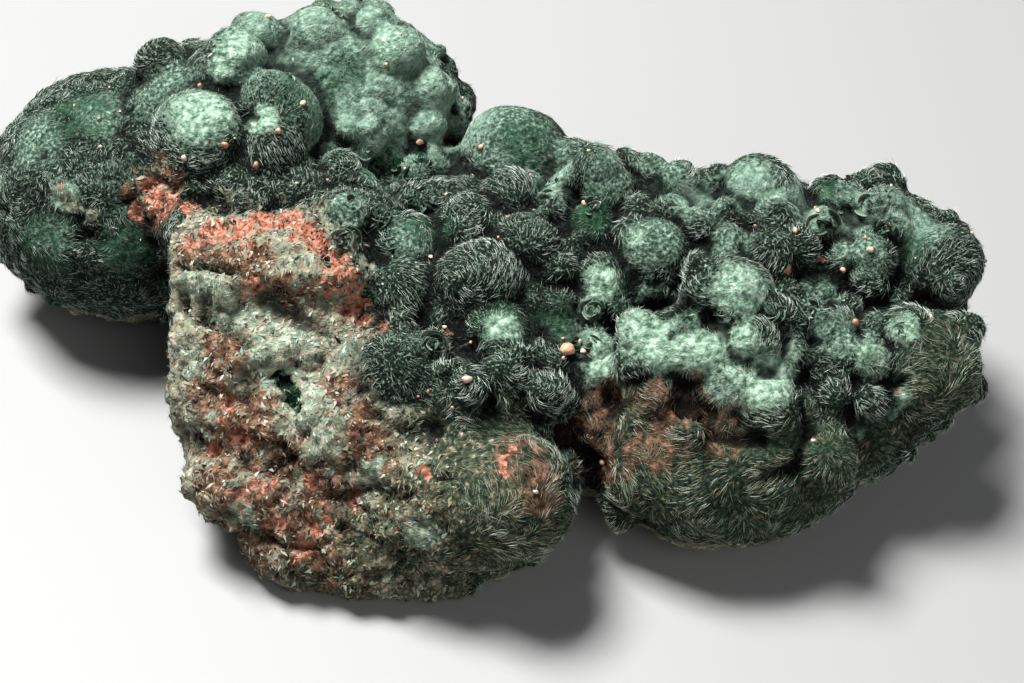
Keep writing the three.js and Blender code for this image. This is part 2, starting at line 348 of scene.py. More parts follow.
def blurred(points, triangles, rounds):
    """The points, each moved halfway to the middle of its neighbours in each round."""
    start = np.concatenate([triangles[:, 0], triangles[:, 1], triangles[:, 2]])
    end = np.concatenate([triangles[:, 1], triangles[:, 2], triangles[:, 0]])
    count = np.bincount(start, minlength=len(points))[:, None].clip(1)
    for _ in range(rounds):
        points = (points + summed(start, points[end], len(points)) / count) / 2
    return points


def hollowness(points, triangles, rounds, depth):
    """How far each point lies below its blurred surroundings, as a share of depth, -1 to 1."""
    normals = vertex_normals(points, triangles)
    below = ((blurred(points, triangles, rounds) - points) * normals).sum(1)
    return np.clip(below / depth, -1, 1)


def scattered(points, triangles, count, weight=None):
    """Random places on a surface: places, normals and the faces that they lie on."""
    normals = face_normals(points, triangles)
    share = np.linalg.norm(normals, axis=1)
    if weight is not None:
        share = share * weight[triangles].mean(1)
    chosen = RNG.choice(len(triangles), count, p=share / share.sum())
    a, b = RNG.random((2, count, 1))
    fold = a + b > 1
    a, b = np.where(fold, 1 - a, a), np.where(fold, 1 - b, b)
    corner = points[triangles[chosen]]
    places = corner[:, 0] + a * (corner[:, 1] - corner[:, 0]) + b * (corner[:, 2] - corner[:, 0])
    return places, unit(normals[chosen]), chosen


def joined(parts):
    """Meshes as one: points and triangles."""
    starts = np.cumsum([0] + [len(points) for points, _ in parts[:-1]])
    points = np.concatenate([points for points, _ in parts])
    triangles = np.concatenate([faces + start for (_, faces), start in zip(parts, starts)])
    return points, triangles


def unit_ball(subdivisions):
    mesh = bpy.data.meshes.new("ball")
    edit = bmesh.new()
    bmesh.ops.create_icosphere(edit, subdivisions=subdivisions, radius=1)
    edit.to_mesh(mesh)
    edit.free()
    return points_of(mesh), triangles_of(mesh)


def applied(mesh, **modifiers):
    """The mesh after modifiers, each given as its type and its settings."""
    obj = add_object("working", mesh)
    for kind, settings in modifiers.items():
        modifier = obj.modifiers.new(kind, kind)
        for key, value in settings.items():
            setattr(modifier, key, value)
    evaluated = obj.evaluated_get(bpy.context.evaluated_depsgraph_get())
    result = bpy.data.meshes.new_from_object(evaluated)
    bpy.data.objects.remove(obj)
    return result


# Places on the stone.
def sight(across, down):
    """The direction from the eye through a pixel of the photograph."""
    x = (across - PHOTO_SIZE[0] / 2) / PHOTO_FOCAL
    y = (PHOTO_SIZE[1] / 2 - down) / PHOTO_FOCAL
    return unit(FORWARD + np.array([x, 0, 0]) + y * UPWARD)


def seated(tree, rows, depth):
    """Centre and radius of balls given by pixel, set past the first thing that each sight line meets."""
    placed = []
    for across, down, radius in rows:
        line = sight(across, down)
        place = tree.ray_cast(Vector(EYE), Vector(line))[0]
        if place is None:
            raise ValueError(f"the line through pixel {across}, {down} misses the stone")
        placed.append([*(np.array(place) + depth * radius * line), radius])
    return np.array(placed)


def groove_points(tree):
    """Each groove as points on the stone, with its width and depth."""
    grooves = []
    for pixels, width, depth in GROOVES:
        pixels = np.array(pixels, float)
        rows = []
        for start, end in zip(pixels[:-1], pixels[1:]):
            count = max(2, int(np.linalg.norm(end - start) / GROOVE_STEP))
            rows += [(*(start + (end - start) * i / count), width) for i in range(count)]
        grooves.append((seated(tree, rows, 0), depth))
    return grooves


# The stone's body.
def smoothed_mass(node):
    """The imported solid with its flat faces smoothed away."""
    mesh = new_mesh("mass", points_of(node.data) / MM, triangles_of(node.data))
    remesh = {"mode": "VOXEL", "voxel_size": MASS_VOXEL}
    mesh = applied(mesh, REMESH=remesh, SMOOTH={"factor": 0.6, "iterations": 5})
    return points_of(mesh), triangles_of(mesh)


def seeded_balls(mass, kept_clear):
    """Balls scattered over the crust, clear of the given spots and of the ground."""
    places, normals, _ = scattered(*mass, SEEDED_BALLS * 4)
    away = np.linalg.norm(places[:, None] - kept_clear[None, :, :3], axis=2)
    clear = (away > kept_clear[None, :, 3]).all(1) & (places[:, 2] > 4)
    places, normals = places[clear][:SEEDED_BALLS], normals[clear][:SEEDED_BALLS]
    radii = RNG.uniform(*SEEDED_RADII, len(places)) * RNG.uniform(0.6, 1, len(places))
    return np.column_stack([places - normals * radii[:, None] * 0.3, radii])


BALL_LUMPS = 0.14  # how far the balls are from round, as a share of their radius


def body_mesh(mass, balls):
    """The mass and the balls as one closed skin."""
    large, small = unit_ball(4), unit_ball(3)
    parts = [mass]
    for x, y, z, radius in balls:
        points, faces = large if radius > 2.5 else small
        lumpy = 1 + BALL_LUMPS * noise_at(points + (x, y, z), 1.1)
        parts.append((points * lumpy[:, None] * radius + (x, y, z), faces))
    remesh = {"mode": "VOXEL", "voxel_size": BODY_VOXEL}
    mesh = applied(new_mesh("stone", *joined(parts)), REMESH=remesh)
    return points_of(mesh), triangles_of(mesh)


def sharpened(points, triangles, rounds, cut, lift):
    """The skin with its creases cut deeper and its tops raised a little."""
    normals = vertex_normals(points, triangles)
    raised = ((points - blurred(points, triangles, rounds)) * normals).sum(1)
    return points + normals * (cut * raised.clip(max=0) + lift * raised.clip(min=0))[:, None]


def spread(points, spots, softness):
    """How strongly each point is in any of the spots, from 0 to 1."""
    strength = np.zeros(len(points))
    for x, y, z, radius in spots:
        distance = np.linalg.norm(points - (x, y, z), axis=1) / radius
        strength = np.maximum(strength, smooth_step(1 + softness, 1 - softness, distance))
    return strength


def masks_of(points, normals, spots):
    """Each mark's strength at each point."""
    coarse, fine = noise_at(points, 2.6, 3), noise_at(points, 0.9, 2)
    masks = {}
    for name, rows in spots.items():
        torn = RAGGED[name]
        strength = spread(points, rows, 0.9 - 0.5 * torn)
        masks[name] = np.clip(strength * (1 + 0.3 * torn) + torn * (0.9 * coarse + 0.9 * fine - 0.3), 0, 1)
        masks[name] *= smooth_step(0, 0.15, strength) * FULLNESS.get(name, 1)
    mottle = 0.35 * smooth_step(0.0, 0.45, noise_at(points, MOTTLE_PITCH, 2))
    masks["soft"] = np.maximum(masks["soft"], mottle)
    masks["brown"] *= 1 - 0.2 * masks["olive"]
    below = smooth_step(-0.2, -0.7, normals[:, 2]) * smooth_step(8, 4, points[:, 2])
    masks["rock"] = np.maximum(masks["rock"], below)
    return masks


def pressed(points, normals, grooves):
    """How deep each point is pressed into a groove, in mm."""
    depth = np.zeros(len(points))
    for rows, groove_depth in grooves:
        distance = np.full(len(points), np.inf)
        for x, y, z, width in rows:
            distance = np.minimum(distance, np.linalg.norm(points - (x, y, z), axis=1) / width)
        depth = np.maximum(depth, groove_depth * np.exp(-distance**2))
    return depth


def crust_relief(points, gap, radii, pale):
    """The height of the crust's packed domes at each point, in mm. The larger dark balls are smooth."""
    plain = smooth_step(0.9, 0.2, gap) * smooth_step(1.7, 2.6, radii) * (1 - 0.7 * pale)
    warped = points + 0.7 * noise_vectors(points, 3.0)
    domes = 1.0 * (domes_at(warped, 3.4) - 0.75) + 0.4 * (domes_at(warped, 1.9) - 0.75)
    domes += 0.2 * (domes_at(warped, 1.2) - 0.75)
    warts = 0.45 * pale * (domes_at(warped, 1.4) - 0.75)
    return domes * (1 - 0.85 * plain) + warts + 0.07 * noise_at(points, 1.1, 2)


def rock_relief(points):
    """The height of broken, layered rock at each point, in mm."""
    level = points[:, 2] + 0.25 * points[:, 1] + 2.2 * noise_at(points, 8, 2)
    layer = np.mod(level / 3.3, 1)
    ledges = smooth_step(0, 0.2, layer) * (1 - 0.6 * smooth_step(0.3, 1, layer)) - 0.5
    return (
        0.7 * ledges * (0.5 + 0.5 * noise_at(points, 6)).clip(0)
        + 0.6 * (blocks_at(points, 3.6) - 0.5)
        + 0.4 * (blocks_at(points, 1.7) - 0.5)
        + 0.22 * noise_at(points, 1.1, 2)
    )


def roughened(points, triangles, masks, grooves, gap, radii):
    """The body with the crust's domes, the rock's ledges and the grooves."""
    normals = vertex_normals(points, triangles)
    calm = np.max([masks[name] for name in ("olive", "soft", "lit_haze")], axis=0)
    crust = crust_relief(points, gap, radii, masks["pale"]) * (1 - 0.65 * calm)
    rock = rock_relief(points) * (1 - 0.6 * masks["verdigris"])
    height = crust + (rock - crust) * masks["rock"]
    height -= 0.2 * smooth_step(0.3, 0.8, masks["orange"]) * masks["rock"]
    height -= 0.8 * smooth_step(0.3, 0.9, masks["pocket"])
    height -= pressed(points, normals, grooves)
    return points + normals * height[:, None]


# Materials.
def rgb(red, green, blue):
    """A colour given as it looks on a screen, 0 to 255, in the shader's own scale."""
    share = np.array([red, green, blue]) / 255
    return (*np.where(share > 0.04045, ((share + 0.055) / 1.055) ** 2.4, share / 12.92), 1)


def new_material(name, roughness, sheen=0.0):
    material = bpy.data.materials.new(name)
    material.use_nodes = True
    shader = material.node_tree.nodes["Principled BSDF"]
    shader.inputs["Roughness"].default_value = roughness
    shader.inputs["Sheen Weight"].default_value = sheen
    shader.inputs["Sheen Roughness"].default_value = 0.35
    shader.inputs["Sheen Tint"].default_value = rgb(214, 232, 222)
    return material, material.node_tree, shader


def feed(tree, socket, value):
    if isinstance(value, bpy.types.NodeSocket):
        tree.links.new(value, socket)
    else:
        socket.default_value = value


def add_node(tree, kind, **inputs):
    node = tree.nodes.new(kind)
    for key, value in inputs.items():
        feed(tree, node.inputs[key], value)
    return node


def ramp(tree, value, stops):
    node = add_node(tree, "ShaderNodeValToRGB", Fac=value)
    elements = node.color_ramp.elements
    while len(elements) < len(stops):
        elements.new(0.5)
    for element, (position, colour) in zip(elements, stops):
        element.position = position
        element.color = colour
    return node.outputs["Color"]


def mixed(tree, share, first, second, blend="MIX"):
    node = tree.nodes.new("ShaderNodeMix")
    node.data_type = "RGBA"
    node.blend_type = blend
    feed(tree, node.inputs[0], share)
    feed(tree, node.inputs[6], first)
    feed(tree, node.inputs[7], second)
    return node.outputs[2]


def math_node(tree, operation, first, second):
    node = tree.nodes.new("ShaderNodeMath")
    node.operation = operation
    feed(tree, node.inputs[0], first)
    feed(tree, node.inputs[1], second)
    return node.outputs[0]


def attribute(tree, name):
    node = tree.nodes.new("ShaderNodeAttribute")
    node.attribute_name = name
    return node.outputs["Fac"]


def noise_node(tree, pitch, detail=4.0):
    """Noise of 0 to 1 with lumps of that pitch in mm."""
    place = tree.nodes.new("ShaderNodeTexCoord").outputs["Object"]
    node = add_node(tree, "ShaderNodeTexNoise", Vector=place, Scale=1 / (pitch * MM), Detail=detail)
    return node.outputs["Fac"]


GROUND_COLOURS = {
    "crust": [
        (0.36, rgb(5, 9, 6)), (0.54, rgb(22, 32, 25)), (0.62, rgb(64, 84, 68)), (0.74, rgb(140, 158, 142)),
    ],
    "soft": [
        (0.36, rgb(30, 45, 36)), (0.47, rgb(58, 78, 64)), (0.56, rgb(86, 106, 92)),
        (0.68, rgb(126, 144, 131)),
    ],
    # Painted light: the far lobes' tops are lighter.
    "lit_haze": [(0.30, rgb(66, 88, 74)), (0.48, rgb(98, 122, 105)), (0.70, rgb(136, 156, 141))],
    "green": [(0.35, rgb(10, 28, 18)), (0.60, rgb(34, 68, 46))],
    "olive": [
        (0.34, rgb(10, 15, 10)), (0.54, rgb(34, 50, 37)), (0.62, rgb(66, 68, 52)), (0.74, rgb(118, 92, 72)),
    ],
    "pale": [(0.32, rgb(56, 80, 65)), (0.48, rgb(110, 136, 116)), (0.66, rgb(154, 175, 156))],
    "rock": [
        (0.28, rgb(46, 41, 33)), (0.38, rgb(88, 80, 65)), (0.46, rgb(126, 117, 99)),
        (0.54, rgb(104, 115, 97)), (0.62, rgb(144, 136, 118)), (0.74, rgb(172, 169, 153)),
    ],
    "brown": [
        (0.30, rgb(20, 14, 10)), (0.46, rgb(68, 47, 35)), (0.58, rgb(106, 77, 60)),
        (0.70, rgb(152, 110, 88)),
    ],
    "orange": [(0.32, rgb(80, 42, 32)), (0.46, rgb(150, 87, 68)), (0.62, rgb(180, 129, 109))],
    "moss": [
        (0.34, rgb(14, 18, 13)), (0.50, rgb(50, 60, 46)), (0.62, rgb(94, 84, 67)),
        (0.74, rgb(160, 158, 140)),
    ],
    "verdigris": [(0.32, rgb(72, 84, 70)), (0.50, rgb(112, 124, 106)), (0.64, rgb(154, 162, 144))],
    "pocket": [(0.40, rgb(6, 22, 14)), (0.60, rgb(26, 70, 48))],
}
# How wide the patches of each ground's colours are, in mm.
GROUND_PITCH = {
    "crust": 0.25, "soft": 0.35, "lit_haze": 0.6, "green": 0.6, "olive": 0.4, "pale": 0.6, "rock": 1.4,
    "brown": 0.9, "orange": 0.6, "moss": 0.5, "verdigris": 0.8, "pocket": 0.4,
}


def stone_material():
    material, tree, shader = new_material("stone", 0.85)
    shader.inputs["Specular IOR Level"].default_value = 0.08
    edge = math_node(tree, "MULTIPLY_ADD", noise_node(tree, 0.5, 4), 1.1)
    edge.node.inputs[2].default_value = -0.55
    colour = ramp(tree, noise_node(tree, GROUND_PITCH["crust"], 6), GROUND_COLOURS["crust"])
    for name in MARKS:
        share = math_node(tree, "ADD", attribute(tree, name), edge)
        fade = 0.3 - 0.2 * RAGGED[name]
        share = ramp(tree, share, [(0.5 - fade, (0, 0, 0, 1)), (0.5 + fade, (1, 1, 1, 1))])
        tone = ramp(tree, noise_node(tree, GROUND_PITCH[name], 6), GROUND_COLOURS[name])
        colour = mixed(tree, share, colour, tone)
    # Painted shade: the ground's colour is darkened in the hollows and creases, where shade falls.
    dark = ramp(tree, attribute(tree, "hollow_shade"), [(0.5, (1, 1, 1, 1)), (0.85, (0.08, 0.08, 0.08, 1))])
    colour = mixed(tree, 1.0, colour, dark, "MULTIPLY")
    tree.links.new(colour, shader.inputs["Base Color"])
    coarse = add_node(tree, "ShaderNodeBump", Height=noise_node(tree, 0.7, 6), Distance=0.5 * MM)
    fine = add_node(tree, "ShaderNodeBump", Height=noise_node(tree, 0.2, 3), Distance=0.12 * MM)
    tree.links.new(coarse.outputs["Normal"], fine.inputs["Normal"])
    tree.links.new(fine.outputs["Normal"], shader.inputs["Normal"])
    return material


# Colours of the fibres and flakes along one ramp, and the stretch of it for each kind of ground.
TINTS = [
    (0.000, rgb(4, 7, 5)), (0.060, rgb(20, 30, 22)), (0.130, rgb(88, 104, 90)), (0.220, rgb(196, 206, 194)),
    (0.240, rgb(22, 34, 27)), (0.310, rgb(84, 106, 90)), (0.400, rgb(164, 182, 170)),
    (0.420, rgb(56, 82, 66)), (0.480, rgb(100, 126, 107)), (0.540, rgb(170, 189, 173)),
    (0.560, rgb(9, 29, 18)), (0.610, rgb(36, 74, 51)), (0.660, rgb(130, 164, 138)),
    (0.680, rgb(13, 19, 14)), (0.710, rgb(38, 58, 43)), (0.730, rgb(72, 94, 70)),
    (0.745, rgb(130, 102, 80)), (0.760, rgb(116, 130, 102)), (0.790, rgb(172, 178, 154)),
    (0.805, rgb(46, 41, 33)), (0.830, rgb(118, 108, 90)), (0.850, rgb(116, 126, 106)),
    (0.880, rgb(188, 186, 170)), (0.895, rgb(34, 23, 17)), (0.920, rgb(106, 75, 56)),
    (0.940, rgb(168, 130, 104)), (0.955, rgb(94, 50, 37)), (0.980, rgb(151, 88, 69)),
    (1.000, rgb(184, 133, 112)),
]
TINT_RANGES = {
    "crust": (0.005, 0.215), "soft": (0.245, 0.395), "pale": (0.425, 0.535), "green": (0.565, 0.655),
    "olive": (0.685, 0.785), "rock": (0.81, 0.875), "brown": (0.9, 0.935), "orange": (0.96, 0.995),
    # The far lobes' strokes take a lighter stretch, as painted light.
    "lit_haze": (0.295, 0.37), "moss": (0.685, 0.785), "verdigris": (0.30, 0.395), "pocket": (0.565, 0.62),
}
# How much of each kind's full ground its own strokes take.
TAKE = {
    "soft": 0.8, "lit_haze": 0.9, "green": 0.45, "olive": 0.95, "pale": 0.7, "rock": 0.95, "brown": 0.6,
    "orange": 0.4, "moss": 0.8, "verdigris": 0.7, "pocket": 0.9,
}
SAND_COLOURS = [
    (0.00, rgb(190, 118, 88)), (0.40, rgb(210, 160, 130)), (0.75, rgb(208, 190, 168)),
    (1.00, rgb(140, 104, 80)),
]
TINT_UV = "OFBake"  # across it runs a stroke's tint, and up it the way from root to tip


def stroke_material(name, roughness, sheen):
    material, tree, shader = new_material(name, roughness, sheen)
    uv = tree.nodes.new("ShaderNodeUVMap")
    uv.uv_map = TINT_UV
    parts = add_node(tree, "ShaderNodeSeparateXYZ", Vector=uv.outputs["UV"])
    colour = ramp(tree, parts.outputs["X"], TINTS)
    # Painted shade and highlight: each stroke is darker at its root and lighter toward its tip.
    shade = ramp(tree, parts.outputs["Y"], [(0.0, (0.35, 0.35, 0.35, 1)), (0.6, (1, 1, 1, 1))])
    tree.links.new(mixed(tree, 1.0, colour, shade, "MULTIPLY"), shader.inputs["Base Color"])
    shader.inputs["Specular IOR Level"].default_value = 0.22
    return material


def grain_material():
    material, tree, shader = new_material("sand", 0.4)
    tan = ramp(tree, attribute(tree, "tint"), SAND_COLOURS)
    speckle = ramp(tree, noise_node(tree, 0.2), [(0.3, (0.6, 0.6, 0.6, 1)), (0.7, (1, 1, 1, 1))])
    tree.links.new(mixed(tree, 1.0, tan, speckle, "MULTIPLY"), shader.inputs["Base Color"])
    return material


# Fibres, flakes and sand. A stroke is four corners, each a share of its width to the side, of its length
# along and of its thickness up. A fibre lies on the stone, so its butt and its underside are left off.
FIBRE = {
    "corners": np.array([[-0.5, 0, 0], [0.5, 0, 0], [0, 0.3, 1], [0, 1, 0]]),
    "faces": np.array([[0, 2, 3], [2, 1, 3]]),
    "uv": np.array([[-0.003, 0], [0.003, 0], [0, 0.3], [0, 1]]),
}
FLAKE = {
    "corners": np.array([[-0.5, 0.1, 1], [0.5, -0.1, 1], [0, -0.5, 0], [0, 0.5, 0.3]]),
    "faces": np.array([[2, 1, 0], [0, 1, 3], [0, 3, 2], [1, 2, 3]]),
    "uv": np.array([[-0.003, 0.8], [0.003, 0.8], [0, 0.1], [0, 1]]),
}


def strokes(name, form, places, along, outward, size, tint, material):
    """One mesh of fibres or flakes. Size is their lengths, widths and thicknesses."""
    length, width, thickness = size
    side = unit(np.cross(along, outward))
    over = unit(np.cross(side, along))
    corners = [
        places
        + side * (across * width)[:, None]
        + along * (forward * length)[:, None]
        + over * (up * thickness)[:, None]
        for across, forward, up in form["corners"]
    ]
    points = np.stack(corners, axis=1).reshape(-1, 3)
    triangles = (np.arange(len(places))[:, None, None] * 4 + form["faces"]).reshape(-1, 3)
    obj = piece(name, points, triangles, material, False)
    uv = np.repeat(form["uv"][None], len(places), 0)
    uv[:, :, 0] += tint[:, None]
    layer = obj.data.uv_layers.new(name=TINT_UV)
    layer.data.foreach_set("uv", uv.reshape(-1, 2)[triangles.ravel()].ravel().astype(np.float32))
    return obj


def tints_for(faces, stone, spread_of_light):
    """A place on the tint ramp for each stroke: the ground under it, then how light it is."""
    corner = stone["triangles"][faces]
    low, high = (np.full(len(faces), edge) for edge in TINT_RANGES["crust"])
    for kind in MARKS:
        takes = RNG.random(len(faces)) < TAKE[kind] * stone["masks"][kind][corner].mean(1) ** 1.5
        low = np.where(takes, TINT_RANGES[kind][0], low)
        high = np.where(takes, TINT_RANGES[kind][1], high)
    hollow_shade = stone["hollow_shade"][corner].mean(1)
    patch = stone["patch"][corner].mean(1)
    # Painted light and shade: strokes in hollows are darker, as shade, and strokes on raised places a
    # little lighter, as light.
    light = spread_of_light + 0.14 * patch - 0.6 * hollow_shade.clip(0, 1) + 0.15 * (-hollow_shade).clip(0, 1)
    return low + (high - low) * light.clip(0, 1)


TUFT_PITCH = 1.5  # mm, the width of the tufts that the fibres lie in
TUFT_TURN = 0.8  # how far the tufts turn from the whorls, in radians
SATIN_CALM = 0.5  # how far satiny patches lose the play of light and dark fibres
POLE = unit(np.array([0.0, -0.55, 0.85]))  # the way most balls turn the middle of their rosettes


def nearest_balls(places, balls):
    """For each place, the ball whose surface is nearest, and how far off it is."""
    index = np.empty(len(places), int)
    gap = np.empty(len(places))
    for start in range(0, len(places), 20_000):
        chunk = slice(start, start + 20_000)
        away = np.linalg.norm(places[chunk, None] - balls[None, :, :3], axis=2) - balls[:, 3]
        index[chunk] = away.argmin(1)
        gap[chunk] = away.min(1)
    return index, gap


def flow(places, normals, stone, corner, poles, twists):
    """The way the fibres lie: in whorls about each ball's pole, and in swirls between balls."""
    index = stone["nearest"][corner]
    pole = poles[index]
    from_pole = unit((pole * normals).sum(1, keepdims=True) * normals - pole)
    swirl = unit(np.cross(normals, noise_vectors(places, 4.5)))
    on_ball = (stone["gap"][corner] < 0.6) & (stone["balls"][index, 3] > 1.2)
    tangent = np.where(on_ball[:, None], from_pole, swirl)
    turn = RNG.normal(0, 0.14, len(places)) + np.where(on_ball, twists[index], 0)
    turn += TUFT_TURN * noise_at(places, TUFT_PITCH)
    side = np.cross(normals, tangent)
    return unit(tangent * np.cos(turn)[:, None] + side * np.sin(turn)[:, None])


def crust_light(count):
    """How light each fibre of the crust is: over a third are dark, and as many catch the light."""
    pick = RNG.random(count)
    low = np.select([pick < 0.38, pick < 0.60], [0.0, 0.3], 0.7)
    high = np.select([pick < 0.38, pick < 0.60], [0.2, 0.6], 1.0)
    return RNG.uniform(low, high)


def fibres(stone, material):
    """The crust's fibres, in a few pieces."""
    masks, balls = stone["masks"], stone["balls"]
    poles = unit(POLE + RNG.normal(0, 0.4, (len(balls), 3)))
    twists = RNG.uniform(-1.3, 1.3, len(balls))
    thin = 1 - 0.65 * masks["rock"]
    made = []
    for i in range(FIBRE_PIECES):
        places, normals, faces = scattered(stone["points"], stone["triangles"], FIBRES_A_PIECE, thin)
        corner = stone["triangles"][faces, 0]
        shaggy = masks["olive"][corner]
        lift = np.radians(RNG.uniform(0, 7, len(places)))[:, None]
        lie = flow(places, normals, stone, corner, poles, twists)
        along = unit(lie * np.cos(lift) + normals * np.sin(lift))
        satin = np.max([masks[name] for name in ("soft", "lit_haze", "pale", "green", "rock")], axis=0)[corner]
        length = RNG.uniform(*FIBRE_LENGTHS, len(places)) * (1 + 0.2 * shaggy) * (1 - 0.35 * satin)
        width = RNG.uniform(*FIBRE_WIDTHS, len(places)) * (1 - 0.2 * satin)
        light = 0.5 + (crust_light(len(places)) - 0.5) * (1 - SATIN_CALM * satin)
        tint = tints_for(faces, stone, light)
        size = (length, width, width * 0.45)
        roots = places - normals * 0.04
        made.append(strokes(f"fibres_{i + 1}", FIBRE, roots, along, normals, size, tint, material))
    return made


def flakes(stone, material):
    """Splinters and flakes of the broken rock."""
    masks = stone["masks"]
    bare = (masks["rock"] * (1 - 0.6 * masks["verdigris"])).clip(0.002)
    places, normals, faces = scattered(stone["points"], stone["triangles"], FLAKES, bare)
    way = np.cross(normals, noise_vectors(places, 3.0) + RNG.normal(0, 0.2, (FLAKES, 3)))
    along = unit(unit(way) + normals * RNG.uniform(0.0, 0.45, (FLAKES, 1)))
    length = RNG.uniform(*FLAKE_LENGTHS, FLAKES) * RNG.choice([1, 1, 1, 1.5], FLAKES)
    width = length * RNG.uniform(*FLAKE_WIDTHS, FLAKES)
    glints = RNG.random(FLAKES) < GLINTS
    length = np.where(glints, 0.6 * length, length)
    light = RNG.normal(0.42, 0.18, FLAKES) + 0.5 * glints
    tint = tints_for(faces, stone, light)
    size = (length, width, width * 0.2)
    return strokes("rock_flakes", FLAKE, places, along, normals, size, tint, material)


# Rosettes of thin upright plates: across, down, radius in mm and the tint that they take.
ROSETTES = [
    (344, 180, 1.7, "crust"), (415, 211, 1.9, "green"), (343, 242, 1.8, "crust"), (377, 217, 1.7, "crust"),
    (432, 345, 1.5, "crust"), (822, 226, 1.7, "crust"), (811, 313, 1.3, "soft"), (888, 228, 1.5, "crust"),
    (385, 152, 1.4, "green"), (400, 168, 1.5, "green"), (366, 150, 1.3, "soft"), (352, 205, 1.2, "crust"),
    (396, 190, 1.4, "crust"), (430, 200, 1.5, "soft"), (590, 345, 1.2, "pale"), (592, 310, 1.2, "pale"),
    (420, 158, 1.2, "green"), (902, 330, 1.1, "pale"), (845, 206, 1.6, "green"), (868, 205, 1.4, "crust"),
    (770, 312, 1.5, "soft"), (325, 262, 0.8, "crust"), (338, 283, 0.7, "crust"), (355, 262, 1.1, "crust"),
    (228, 226, 0.7, "crust"), (286, 222, 0.8, "crust"), (405, 545, 0.8, "olive"), (440, 500, 0.8, "olive"),
]
SEEDED_ROSETTES = 50
PLATE_STEPS = 6
PLATE_THICKNESS = 0.035  # mm


def petal(radius, start, span, height):
    """One curved plate about an upright axis: points, triangles, and a UV row of tint offset and height.
    Its rim is level with the origin in the middle, and its foot is nearer the axis."""
    s, t = np.meshgrid(np.linspace(0, 1, PLATE_STEPS + 1), [0, 0.6, 1], indexing="ij")
    angle = start + span * (s - 0.5)
    level = height * (t - 1) - 0.35 * height * (2 * s - 1) ** 2
    skins = []
    for inset in (0, PLATE_THICKNESS):
        r = radius - 0.6 * height * (1 - t) ** 1.5 - inset
        skins.append(np.stack([r * np.cos(angle), r * np.sin(angle), level], axis=-1))
    points = np.concatenate([skin.reshape(-1, 3) for skin in skins])
    rows, half = 3, 3 * (PLATE_STEPS + 1)
    faces = []
    for i in range(PLATE_STEPS):
        for j in range(rows - 1):
            a = i * rows + j
            b, c, d = a + rows, a + rows + 1, a + 1
            faces += [[a, b, c], [a, c, d], [half + a, half + c, half + b], [half + a, half + d, half + c]]
    rim = [i * rows for i in range(PLATE_STEPS + 1)] + [PLATE_STEPS * rows + 1]
    rim += [i * rows + rows - 1 for i in range(PLATE_STEPS, -1, -1)] + [1]
    for a, b in zip(rim, rim[1:] + rim[:1]):
        faces += [[a, half + b, b], [a, half + a, half + b]]
    # The UV's height paints each plate dark at its foot, as shade, and light only at its rim, as a painted
    # highlight.
    uv = np.column_stack([np.tile(0.003 * (2 * s - 1).ravel(), 2), np.tile((0.7 * t**3).ravel(), 2)])
    return points, np.array(faces), uv


def rosette(centre, axis, radius, kind):
    """Petals nested like a rose's: points, triangles and UV rows."""
    count = int(RNG.integers(9, 14))
    across = unit(np.cross(axis, RNG.normal(0, 1, 3)))
    frame_of = np.array([across, np.cross(axis, across), axis])
    low, high = TINT_RANGES[kind]
    parts, uvs = [], []
    for i in range(count):
        share = (i + 0.7) / count
        span = RNG.uniform(0.8, 1.7) + 0.8 * (1 - share)
        points, faces, uv = petal(radius * share, 2.4 * i + RNG.uniform(-0.8, 0.8), span, 0.5 * radius)
        points[:, 2] += radius * (0.35 - 0.45 * share**2 + RNG.uniform(-0.14, 0.14))
        points[:, :2] += 0.12 * radius * RNG.normal(0, 1, 2)
        points += 0.2 * radius * noise_vectors(points + centre, 0.8 * radius)
        uv[:, 0] += low + (high - low) * RNG.uniform(0.3, 0.7)
        parts.append((points @ frame_of + centre, faces))
        uvs.append(uv)
    return *joined(parts), np.concatenate(uvs)


def plates(stone, material):
    """The rosettes of plates, those that the photograph shows and more over the rest of the crust."""
    points, triangles, masks = stone["points"], stone["triangles"], stone["masks"]
    tree = BVHTree.FromPolygons(points.tolist(), triangles.tolist())
    rows = []
    for centre, (_, _, radius, kind) in zip(seated(tree, [row[:3] for row in ROSETTES], 0), ROSETTES):
        rows.append((centre[:3], np.array(tree.find_nearest(Vector(centre[:3]))[1]), radius, kind))
    bare = (1 - masks["rock"]) * (1 - masks["olive"]) * (points[:, 2] > 3)
    places, normals, faces = scattered(points, triangles, SEEDED_ROSETTES, bare)
    for place, normal, face in zip(places, normals, faces):
        soft = masks["soft"][triangles[face, 0]] > 0.5
        kind = "soft" if soft else RNG.choice(["crust", "green"])
        rows.append((place, normal, RNG.uniform(0.7, 1.4), kind))
    parts, uvs = [], []
    for place, normal, radius, kind in rows:
        axis = unit(normal + 0.3 * POLE + RNG.normal(0, 0.12, 3))
        *part, uv = rosette(place, axis, radius, kind)
        parts.append(part)
        uvs.append(uv)
    points, triangles = joined(parts)
    obj = piece("rosettes", points, triangles, material, False)
    layer = obj.data.uv_layers.new(name=TINT_UV)
    layer.data.foreach_set("uv", np.concatenate(uvs)[triangles.ravel()].ravel().astype(np.float32))
    return obj


